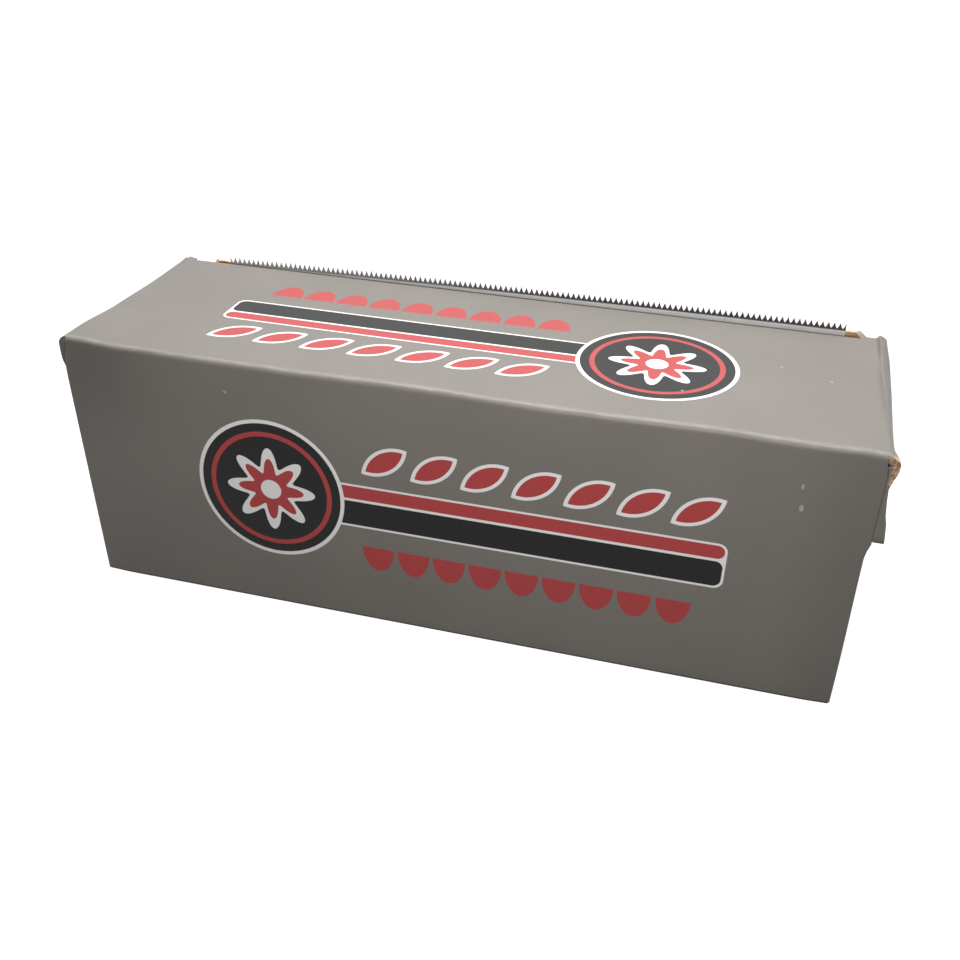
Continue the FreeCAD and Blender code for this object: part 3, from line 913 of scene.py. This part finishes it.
def cut_edge(colours):
    """The cut edge of micro-fluted board. Across the thickness come a pale outer liner, the hollows
    between the waves of the fluting in painted shade, and a brown inner liner. On the side edges of
    the ears the cutting rule has rolled the printed face over the edge, all but a torn corner, and
    the top of the front wall has a painted highlight in cream and painted shade in brown on its
    inner side."""
    finish = Finish("cut_board", Roughness=0.9, Specular_IOR_Level=0.15)
    kraft = partial(shade, colours.kraft)
    vector, x, y, z = finish.rest_place()
    depth = finish.attribute("depth")
    rough = finish.noise(vector, 1.3, 4.0, 0.7)
    stain = finish.noise(vector, 0.55, 3.0)
    wave = finish.math("SINE", (x + y * 0.7 + z) * (2 * math.pi / FLUTE_PITCH)) * 0.24 + 0.5
    flute = finish.step(abs(depth - wave), 0.2, 0.08)
    liner = finish.most(finish.step(depth, 0.2, 0.12), finish.step(depth, 0.8, 0.88))
    solid = finish.most(flute, liner)
    near_edge = finish.step(y, 0.5 - SIDE, 0.2 - SIDE)
    on_ear = finish.step(abs(x) + near_edge * 0.6, END, END + 0.3)
    scrap = finish.layered(
        kraft(1.35),
        (finish.step(finish.noise(vector, 0.9, 3.0, 0.6), 0.42, 0.58), kraft(0.6)),
        (finish.step(rough, 0.62, 0.72), kraft(0.2)),
    )
    torn = finish.step(z + (rough - 0.5) * 1.5, TOP - 5.1, TOP - 4.7) * finish.step(depth, 0.85, 0.6)
    rolled = on_ear * (1 - torn * finish.step(x, 0.0, 1.0) * finish.step(y, 0.0, -1.0))
    on_front = finish.step(y, SIDE - 1.3, SIDE - 1.2) * finish.step(z, 44.0, 45.0)
    # The front wall's top: a painted highlight in cream on top, painted shade in brown on its inner side.
    lit_and_shaded_lip = finish.mix(finish.step(depth, 0.7, 0.95), (0.84, 0.7, 0.56), SHADE_BROWN)
    finish.paint(
        # The dark base is painted shade in the hollows between the flutes.
        kraft(0.3),
        (solid * 0.6 + 0.25, kraft(1.55)),
        (finish.step(rough, 0.35, 0.7) * 0.5, kraft(0.7)),
        (finish.step(stain, 0.56, 0.66) * 0.7, (0.7, 0.6, 0.5)),
        (finish.step(depth, 0.16, 0.08) * 0.7, (0.72, 0.69, 0.64)),
        (on_ear, scrap),
        (rolled, tuple(colours.ground)),
        (on_front * (0.9 - rough * 0.3), lit_and_shaded_lip),
    )
    finish.bump((solid + rough) * (1 - rolled * 0.85), 0.12 * MM, 0.9)
    return finish.material


def steel_finish(colours):
    """Cold-rolled strip: fine lines along its length, a little dirt, teeth made rough and given
    painted shade that grows towards the right, and painted shade below the level of the lid, where
    the strip stands in the narrow gap beside the lid's edge."""
    finish = Finish("rolled_steel", Metallic=0.85, Roughness=0.5)
    steel = partial(shade, colours.steel)
    vector, x, _, z = finish.object_place()
    lines = finish.noise(finish.stretched(vector, 0.05, 1.0, 9.0), 2.4, 4.0, 0.7)
    dirt = finish.noise(vector, 0.5, 3.0, 0.6)
    tooth = finish.attribute("tooth")
    finish.paint(
        steel(0.85),
        (finish.step(lines, 0.3, 0.7), steel(1.15)),
        (finish.step(dirt, 0.62, 0.8) * 0.4, (0.2, 0.16, 0.12)),
        # Painted shade on the teeth, darker towards the right.
        (tooth * (0.52 + 0.42 * finish.step(x, -62.0, 20.0)), (0.05, 0.045, 0.045)),
        # Painted shade below the lid's level, where the strip stands in the gap beside the lid's edge.
        (finish.step(z, TOP - 0.25, TOP - 0.55) * 0.88, (0.035, 0.035, 0.032)),
    )
    finish.feed("Roughness", 0.45 + lines * 0.12 + dirt * 0.08 + tooth * 0.2)
    finish.bump(lines, 0.01 * MM, 0.5)
    return finish.material


def foil_finish(colours):
    """Bright foil: rolling lines along X, soft dents, and in some of them thin creases along the
    contour lines of a slow noise, with painted shade along the creases."""
    finish = Finish("bright_foil", Metallic=1.0, Roughness=0.24)
    foil = partial(shade, colours.foil)
    vector = finish.object_place()[0]
    rolling = finish.noise(finish.stretched(vector, 0.04, 2.0, 2.0), 1.6, 3.0, 0.6)
    dents = finish.noise(vector, 0.11, 3.0, 0.55)
    wander = finish.noise(finish.stretched(vector, 0.3, 1.0, 1.0), 0.13, 2.0, 0.5)
    crease = finish.step(abs(wander - 0.5), 0.03, 0.0) * finish.step(dents, 0.45, 0.6)
    # Painted shade along the creases.
    finish.paint(foil(0.8), (rolling, foil(1.0)), (crease * 0.3, foil(0.5)))
    finish.feed("Roughness", 0.18 + rolling * 0.14)
    finish.bump(rolling * 0.25 + dents * 1.9 - crease * 0.4, 0.25 * MM, 0.8)
    return finish.material


def foil_end_finish(colours):
    """The ends of the winding: hundreds of turns seen on edge as fine rings, some darker."""
    finish = Finish("foil_ends", Metallic=1.0, Roughness=0.42)
    foil = partial(shade, colours.foil)
    _, x, y, z = finish.object_place()
    radius = finish.length(y - FOIL_MIDDLE[1] / MM, z - FOIL_MIDDLE[2] / MM)
    spread = finish.add("ShaderNodeCombineXYZ", None, {0: radius, 1: x * 0.02, 2: 0.0})
    rings = finish.noise(spread, 9.0, 4.0, 0.75)
    wide = finish.noise(spread, 1.4, 2.0)
    finish.paint(
        foil(0.42),
        (finish.step(rings, 0.35, 0.62), foil(1.0)),
        (finish.step(wide, 0.45, 0.7) * 0.4, foil(0.6)),
    )
    finish.bump(rings + wide, 0.12 * MM, 0.9)
    return finish.material


def paper_finish(colours):
    """Spirally wound tube paper: a helical seam, fibres, and a slightly lighter brown than board."""
    finish = Finish("tube_paper", Roughness=0.8, Specular_IOR_Level=0.25)
    kraft = partial(shade, colours.kraft)
    vector, x, y, z = finish.object_place()
    angle = finish.math("ARCTAN2", z - CORE_MIDDLE[2] / MM, y - CORE_MIDDLE[1] / MM)
    seam = finish.math("PINGPONG", x / SEAM_PITCH + angle / (2 * math.pi), 0.5)
    fibre = finish.noise(finish.stretched(vector, 0.6, 1.6, 1.6), 1.5, 4.0, 0.65)
    finish.paint(
        kraft(0.95),
        (finish.step(fibre, 0.3, 0.7), kraft(1.25)),
        (finish.step(seam, 0.012, 0.004) * 0.7, kraft(0.45)),
    )
    finish.bump(fibre * 0.5 + finish.step(seam, 0.0, 0.02), 0.12 * MM, 0.8)
    return finish.material


def surface_mesh(name, patches, sharp_angle=35):
    """One mesh from patches that already look outwards, with their shared points merged."""
    chosen, faces = merged(patches, outward=False, cell=1e-6)
    mesh = bpy.data.meshes.new(name)
    mesh.from_pydata(all_points(patches)[chosen].tolist(), [], faces.tolist())
    return add_piece(name, mesh, sharp_angle)


def tip_line(x):
    """Height of the tooth tips: a straight rise to the right with a slight upward bow."""
    share = (2 * x - STRIP_LOW[0] - STRIP_HIGH[0]) / (STRIP_HIGH[0] - STRIP_LOW[0])
    return LID_TOP + (1.70 + 0.545 * share - 0.315 * share ** 2) * MM


def make_strip(sizes):
    """The saw strip. Its upper edge is a row of teeth with hollow sides: the full tooth depth down
    halfway between tips, and 0.63 of it a quarter of the way. Rows of points run along it at the
    edge, the tooth roots, the middle and the foot."""
    left, right = STRIP_LOW[0], STRIP_HIGH[0] - 0.08 * MM
    count = int(round((right - left) / sizes.tooth_pitch))
    x = np.linspace(left, right, 4 * count + 1)
    place = np.arange(len(x)) % 4
    is_tip = place == 0
    drop = np.array([0, 0.63, 1, 0.63])[place] * sizes.tooth_depth
    chance = np.random.default_rng(5)
    uneven = chance.normal(0, 0.03 * MM, len(x)) * (place % 2 == 0)
    bent = chance.normal(0, 0.03 * MM, len(x)) * is_tip
    tips = tip_line(x)
    rows = [tips - drop + uneven, tips - sizes.tooth_depth - 0.12 * MM,
            tips - sizes.tooth_depth - 0.3 * MM, tips - 4 * MM, tips - sizes.strip_height]
    height = np.stack(rows, 1)
    lean = np.zeros_like(height)
    lean[:, 0] = bent
    back = patch(x[:, None], STRIP_HIGH[1] - 0.01 * MM + lean, height)
    front = patch(x[:, None], STRIP_LOW[1] + lean, height)
    piece = surface_mesh("saw_strip", [
        front[::-1],
        back,
        np.stack([front[:, 0], back[:, 0]], 1)[::-1],
        np.stack([back[:, -1], front[:, -1]], 1)[::-1],
        np.stack([back[0], front[0]], 0),
        np.stack([front[-1], back[-1]], 0),
    ], 20)
    places = np.array([vertex.co for vertex in piece.data.vertices])
    tooth = piece.data.attributes.new("tooth", "FLOAT", "POINT")
    below = tip_line(places[:, 0]) - places[:, 2]
    tooth.data.foreach_set("value", (below < sizes.tooth_depth + 0.2 * MM).astype(float))
    return piece


def round_axis(x, radius, angle, middle):
    """Points about the roll's axis: (x, r cos a, r sin a), moved to the middle of the roll."""
    return patch(x, middle[1] + radius * np.cos(angle), middle[2] + radius * np.sin(angle))


def make_winding(sizes):
    """The wound foil: a cylinder with shallow dents, a bore, and ends of uneven turns."""
    radius, bore = FOIL_RADIUS, CORE_RADIUS + BORE_PLAY
    half = FOIL_HIGH[0] - 0.02 * MM
    along = stretch(-half, half, WINDING_CELLS[0])[:, None]
    angle = stretch(0, 2 * math.pi, WINDING_CELLS[1])[None, :]
    turns = stretch(bore, radius, WINDING_CELLS[2])[:, None]
    dents = (np.sin(along / (9 * MM) + 3 * np.sin(angle)) * np.sin(2 * angle + 1)
             + 0.6 * np.sin(along / (4.1 * MM) + 2 * np.cos(2 * angle)) * np.sin(5 * angle))
    reach = radius - 0.05 * MM * (1 + 0.5 * dents) * (1 - (along / half) ** 8)
    stand = np.random.default_rng(11).uniform(-1, 0, (2, len(turns), 1)) * sizes.turn_step
    stand[:, 0] = stand[:, -1] = 0
    return surface_mesh("foil_winding", [
        round_axis(along, reach, angle, FOIL_MIDDLE),
        round_axis(along, np.full_like(along, bore), angle, FOIL_MIDDLE)[::-1],
        round_axis(-half - stand[0], turns, angle, FOIL_MIDDLE),
        round_axis(half + stand[1], turns, angle, FOIL_MIDDLE)[::-1],
    ])


def make_tail(sizes):
    """The loose end of the foil. It hugs the roll over an arc, leaves it along the tangent, lifts
    and waves a little, and ends in the zigzag that the saw left. The underside is the same grid
    moved down by the thickness of a sheet that can be seen."""
    radius = FOIL_RADIUS + 0.05 * MM
    half = FOIL_HIGH[0] - 0.6 * MM
    x = stretch(-half, half, TAIL_CELLS[0])[:, None]
    zigzag = 0.5 * MM * (np.abs((x / (1 * MM)) % 1 - 0.5) * 2 - 0.5)
    share = stretch(0, 1, TAIL_CELLS[1])[None, :]
    run = (TAIL_WRAP + sizes.tail_length + zigzag) * share - TAIL_WRAP
    hugging, free = np.clip(run, None, 0) / radius, np.clip(run, 0, None)
    loose = smooth_step(0, sizes.tail_length, free)
    crinkle = (0.14 * np.sin(x / (2.3 * MM) + 1.4 * np.sin(x / (7 * MM)))
               + 0.1 * np.sin(x / (5.2 * MM) + free / (2.5 * MM))) * MM * loose
    droop = 0.3 * MM * loose * (1 + 0.35 * np.sin(x / (17 * MM)))
    y = FOIL_MIDDLE[1] + radius * np.sin(hugging) + free
    upper = patch(x, y, FOIL_MIDDLE[2] + radius * np.cos(hugging) - droop + crinkle)
    lower = upper - [0, 0, TAIL_SHEET]
    return surface_mesh("foil_tail", [
        upper[::-1, ::-1],
        lower[::-1],
        np.stack([upper[0], lower[0]], 0),
        np.stack([lower[-1], upper[-1]], 0),
        np.stack([lower[:, 0], upper[:, 0]], 1)[::-1],
        np.stack([upper[:, -1], lower[:, -1]], 1)[::-1],
    ], 50)


def make_core(sizes):
    """The paper tube: outside and bore with a shallow helical seam, and two slightly fuzzy ends."""
    radius, half = CORE_RADIUS, CORE_HIGH[0]
    bore = radius - sizes.core_wall
    along = stretch(-half, half, CORE_CELLS[0])[:, None]
    angle = stretch(0, 2 * math.pi, CORE_CELLS[1])[None, :]
    plies = stretch(bore, radius, CORE_CELLS[2])[:, None]
    seam = 0.06 * MM * bump((along / (SEAM_PITCH * MM) + angle / (2 * math.pi)) % 1, 0.5, 0.03)
    seam = seam * (1 - (along / half) ** 20)
    fuzz = np.abs(0.04 * MM * np.sin(9 * angle) * np.sin(np.pi * (plies - bore) / (radius - bore)))
    return surface_mesh("paper_core", [
        round_axis(along, radius - seam, angle, CORE_MIDDLE),
        round_axis(along, bore + seam, angle, CORE_MIDDLE)[::-1],
        round_axis(fuzz - half, plies, angle, CORE_MIDDLE),
        round_axis(half - fuzz, plies, angle, CORE_MIDDLE)[::-1],
    ])


BOARD_FINISHES = (printed_board, kraft_board, cut_edge)
MATERIALS = {}


def shared_material(make, colours):
    """The material of a finish. Pieces of the same stuff share one."""
    if make.__name__ not in MATERIALS:
        MATERIALS[make.__name__] = make(colours)
    return MATERIALS[make.__name__]


def dress(piece, colours, makers, nodes=()):
    """Gives a piece its materials and hides the nodes that it stands for."""
    for make in makers:
        piece.data.materials.append(shared_material(make, colours))
    if nodes:
        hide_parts(*nodes)


class FOILCARTON_OT_tray(bpy.types.Operator):
    """Folds the tray: floor, walls, dust flaps and end panels"""

    bl_idname = "foilcarton.tray"
    bl_label = "Tray"

    def execute(self, context):
        carton = context.scene.foil_carton
        piece = board_mesh("tray_board", partial(tray_patches, carton.board), carton.board.board)
        dress(piece, carton.colours, BOARD_FINISHES, ["carton_tray"])
        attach(piece, TRAY_BODY)
        return {"FINISHED"}


class FOILCARTON_OT_lid(bpy.types.Operator):
    """Folds the lid: top panel, ears and tuck flap"""

    bl_idname = "foilcarton.lid"
    bl_label = "Lid"

    def execute(self, context):
        carton = context.scene.foil_carton
        piece = board_mesh("lid_board", partial(lid_patches, carton.board), carton.board.board)
        dress(piece, carton.colours, BOARD_FINISHES, ["carton_lid"])
        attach(piece, LID_BODY)
        return {"FINISHED"}


class FOILCARTON_OT_crease(bpy.types.Operator):
    """Makes the crease that joins the lid to the back wall"""

    bl_idname = "foilcarton.crease"
    bl_label = "Crease"

    def execute(self, context):
        carton = context.scene.foil_carton
        sizes = carton.board
        piece = board_mesh("lid_crease", partial(crease_patches, sizes), sizes.board)
        dress(piece, carton.colours, BOARD_FINISHES)
        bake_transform(piece)
        return {"FINISHED"}


class FOILCARTON_OT_strip(bpy.types.Operator):
    """Makes the saw-toothed steel strip"""

    bl_idname = "foilcarton.strip"
    bl_label = "Saw strip"

    def execute(self, context):
        carton = context.scene.foil_carton
        piece = make_strip(carton.roll)
        dress(piece, carton.colours, [steel_finish], ["cutter_strip"])
        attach(piece, TRAY_BODY)
        return {"FINISHED"}


class FOILCARTON_OT_foil(bpy.types.Operator):
    """Winds the foil, with its loose end on top"""

    bl_idname = "foilcarton.foil"
    bl_label = "Foil"

    def execute(self, context):
        carton = context.scene.foil_carton
        winding = make_winding(carton.roll)
        dress(winding, carton.colours, [foil_finish, foil_end_finish], ["foil_roll"])
        normals = np.zeros(len(winding.data.polygons) * 3)
        winding.data.polygons.foreach_get("normal", normals)
        on_end = np.abs(normals.reshape(-1, 3)[:, 0]) > 0.6
        winding.data.polygons.foreach_set("material_index", on_end.astype(int))
        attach(winding, TRAY_BODY)
        tail = make_tail(carton.roll)
        dress(tail, carton.colours, [foil_finish])
        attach(tail, TRAY_BODY)
        return {"FINISHED"}


class FOILCARTON_OT_core(bpy.types.Operator):
    """Makes the paper tube inside the foil"""

    bl_idname = "foilcarton.core"
    bl_label = "Core"

    def execute(self, context):
        carton = context.scene.foil_carton
        piece = make_core(carton.roll)
        dress(piece, carton.colours, [paper_finish], ["core_tube"])
        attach(piece, TRAY_BODY)
        return {"FINISHED"}


def white_to_the_eye(shader, low, high):
    """A number that is high for camera, mirror and glass rays, and low for the light that a
    surface sends out."""
    rays = [shader.add("ShaderNodeLightPath", None, None, f"Is {kind} Ray")
            for kind in ("Camera", "Glossy", "Transmission")]
    seen = shader.most(shader.most(rays[0], rays[1]), rays[2])
    return low + seen * (high - low)


def soft_box(name, place, target, size, power):
    """A square area lamp that looks at a point."""
    lamp = bpy.data.lights.new(name, "AREA")
    lamp.shape = "SQUARE"
    lamp.size = size
    lamp.energy = power
    box = bpy.data.objects.new(name, lamp)
    box.visible_camera = False
    facing = (Vector(target) - Vector(place)).to_track_quat("-Z", "Y")
    box.matrix_world = Matrix.Translation(place) @ facing.to_matrix().to_4x4()
    bpy.context.scene.collection.objects.link(box)


class FOILCARTON_OT_stage(bpy.types.Operator):
    """Adds the pale floor, the soft lamps and the camera"""

    bl_idname = "foilcarton.stage"
    bl_label = "Stage"

    def execute(self, context):
        scene = context.scene
        mesh = bpy.data.meshes.new("floor")
        corners = np.array([(-1, -1, 0), (1, -1, 0), (1, 1, 0), (-1, 1, 0)]) * FLOOR_REACH
        mesh.from_pydata(corners.tolist(), [], [(0, 1, 2, 3)])
        floor = bpy.data.objects.new("floor", mesh)
        scene.collection.objects.link(floor)
        pale = Finish("pale_floor", Roughness=1.0, Specular_IOR_Level=0.0, Emission_Strength=1.0)
        pale.principled.inputs["Base Color"].default_value = (*[FLOOR_GREY] * 3, 1)
        glow = white_to_the_eye(pale, 0.0, FLOOR_SEEN)
        pale.feed("Emission Color", pale.add("ShaderNodeCombineColor", None, {0: glow, 1: glow, 2: glow}))
        mesh.materials.append(pale.material)

        world = bpy.data.worlds.new("studio")
        scene.world = world
        world.use_nodes = True
        sky = Shader(world.node_tree)
        background = next(node for node in sky.tree.nodes if node.type == "BACKGROUND")
        background.inputs["Color"].default_value = (1, 1, 1, 1)
        strength = white_to_the_eye(sky, WORLD_LIGHT, WORLD_SEEN)
        sky.tree.links.new(strength.socket, background.inputs["Strength"])
        for lamp in LAMPS:
            soft_box(*lamp)

        camera = bpy.data.cameras.new("camera")
        camera.sensor_width = CAMERA_SENSOR
        camera.lens = CAMERA_LENS
        camera.clip_start = 0.01
        viewer = bpy.data.objects.new("camera", camera)
        scene.collection.objects.link(viewer)
        place = Matrix.Translation(CAMERA_PLACE)
        for degrees, axis in ((CAMERA_AZIMUTH, "Z"), (90 - CAMERA_ELEVATION, "X"), (CAMERA_ROLL, "Z")):
            place = place @ Matrix.Rotation(math.radians(degrees), 4, axis)
        viewer.matrix_world = place
        scene.camera = viewer
        scene.view_settings.view_transform = "Standard"
        return {"FINISHED"}


STEPS = (
    FOILCARTON_OT_stage,
    FOILCARTON_OT_tray,
    FOILCARTON_OT_lid,
    FOILCARTON_OT_crease,
    FOILCARTON_OT_strip,
    FOILCARTON_OT_foil,
    FOILCARTON_OT_core,
)


class FOILCARTON_PT_panel(bpy.types.Panel):
    """Lists the pieces and their sizes"""

    bl_label = "Foil Carton"
    bl_idname = "FOILCARTON_PT_panel"
    bl_space_type = "VIEW_3D"
    bl_region_type = "UI"
    bl_category = "Foil Carton"

    def draw(self, context):
        for step in STEPS:
            self.layout.operator(step.bl_idname)
        carton = context.scene.foil_carton
        for group in (carton.board, carton.roll, carton.colours):
            box = self.layout.box()
            for name in group.__annotations__:
                box.prop(group, name)


CLASSES = (CartonSizes, RollSizes, CartonColours, FoilCarton, *STEPS, FOILCARTON_PT_panel)


def register():
    for cls in CLASSES:
        bpy.utils.register_class(cls)
    bpy.types.Scene.foil_carton = bpy.props.PointerProperty(type=FoilCarton)


def unregister():
    del bpy.types.Scene.foil_carton
    for cls in reversed(CLASSES):
        bpy.utils.unregister_class(cls)


def main():
    """Makes every piece in order."""
    register()
    bpy.ops.foilcarton.stage()
    bpy.ops.foilcarton.tray()
    bpy.ops.foilcarton.lid()
    bpy.ops.foilcarton.crease()
    bpy.ops.foilcarton.strip()
    bpy.ops.foilcarton.foil()
    bpy.ops.foilcarton.core()


if __name__ == "__main__":
    main()
